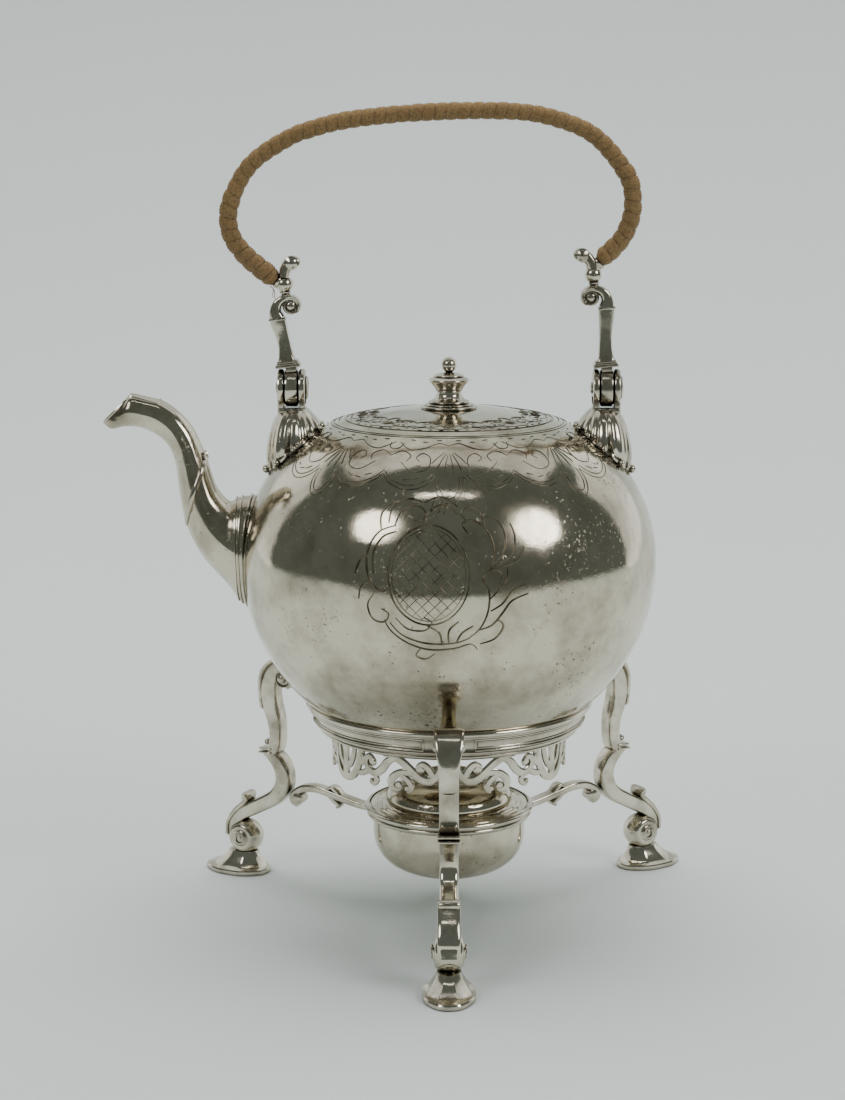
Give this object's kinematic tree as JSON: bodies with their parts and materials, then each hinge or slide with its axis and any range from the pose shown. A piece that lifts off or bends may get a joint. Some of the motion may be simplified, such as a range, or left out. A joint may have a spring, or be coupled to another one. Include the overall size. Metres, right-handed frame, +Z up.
{
  "type": "swing-handled tea kettle on lampstand",
  "caption": "Round silver tea kettle with curved spout, flush lid and wicker-wrapped swing handle, on a scroll-legged stand with pierced apron and spirit lamp.",
  "frame": {"origin": "on the axis of kettle and stand, at the level of the table under the feet", "axes": "+Z up; the spout points along -X; one leg points along -Y; the handle stands in the XZ plane"},
  "size_m": [0.2628, 0.2217, 0.3604],
  "materials": {
    "raised_silver": "polished silver, warm tarnish in the recesses",
    "cast_silver": "cast and chased silver, polished on the high spots",
    "wicker": "split cane wound tightly, matte",
    "iron_core": "plain drawn rod, hidden inside the winding",
    "cotton_wick": "twisted cotton, matte"
  },
  "bodies": {
    "stand": {"stand_ring": "raised_silver", "stand_apron": "raised_silver", "leg_top_front": "cast_silver", "leg_top_right": "cast_silver", "leg_top_left": "cast_silver", "leg_scroll_front": "cast_silver", "leg_scroll_right": "cast_silver", "leg_scroll_left": "cast_silver", "foot_front": "cast_silver", "foot_right": "cast_silver", "foot_left": "cast_silver", "lamp_bracket_front": "cast_silver", "lamp_bracket_right": "cast_silver", "lamp_bracket_left": "cast_silver", "lamp_ring": "raised_silver"},
    "kettle": {"kettle_body": "raised_silver", "mouth_ring": "raised_silver", "spout": "raised_silver", "spout_root_band": "raised_silver", "handle_socket_left": "cast_silver", "handle_socket_right": "cast_silver", "hinge_pin_left": "cast_silver", "hinge_pin_right": "cast_silver"},
    "handle": {"handle_arm_left": "cast_silver", "handle_arm_right": "cast_silver", "handle_core": "iron_core", "handle_wrap": "wicker"},
    "lid": {"lid": "raised_silver", "lid_bezel": "raised_silver", "finial": "cast_silver", "finial_nut": "cast_silver"},
    "lamp": {"lamp_bowl": "raised_silver"},
    "burner": {"lamp_cover": "raised_silver", "wick_holder": "raised_silver"},
    "wick": {"wick": "cotton_wick"}
  },
  "joints": [
    {"name": "kettle_lift", "type": "slide", "parent": "stand", "child": "kettle", "axis": [0, 0, 1], "range_m": [0, 0.12]},
    {"name": "handle_swing", "type": "hinge", "parent": "kettle", "child": "handle", "pos_m": [0, 0, 0.23719], "axis": [1, 0, 0], "range_deg": [-110, 110]},
    {"name": "lid_lift", "type": "slide", "parent": "kettle", "child": "lid", "axis": [0, 0, 1], "range_m": [0, 0.06]},
    {"name": "lamp_lift", "type": "slide", "parent": "stand", "child": "lamp", "axis": [0, 0, 1], "range_m": [0, 0.005]},
    {"name": "burner_lift", "type": "slide", "parent": "lamp", "child": "burner", "axis": [0, 0, 1], "range_m": [0, 0.007]},
    {"name": "wick_raise", "type": "slide", "parent": "burner", "child": "wick", "axis": [0, 0, 1], "range_m": [0, 0.003]}
  ]
}
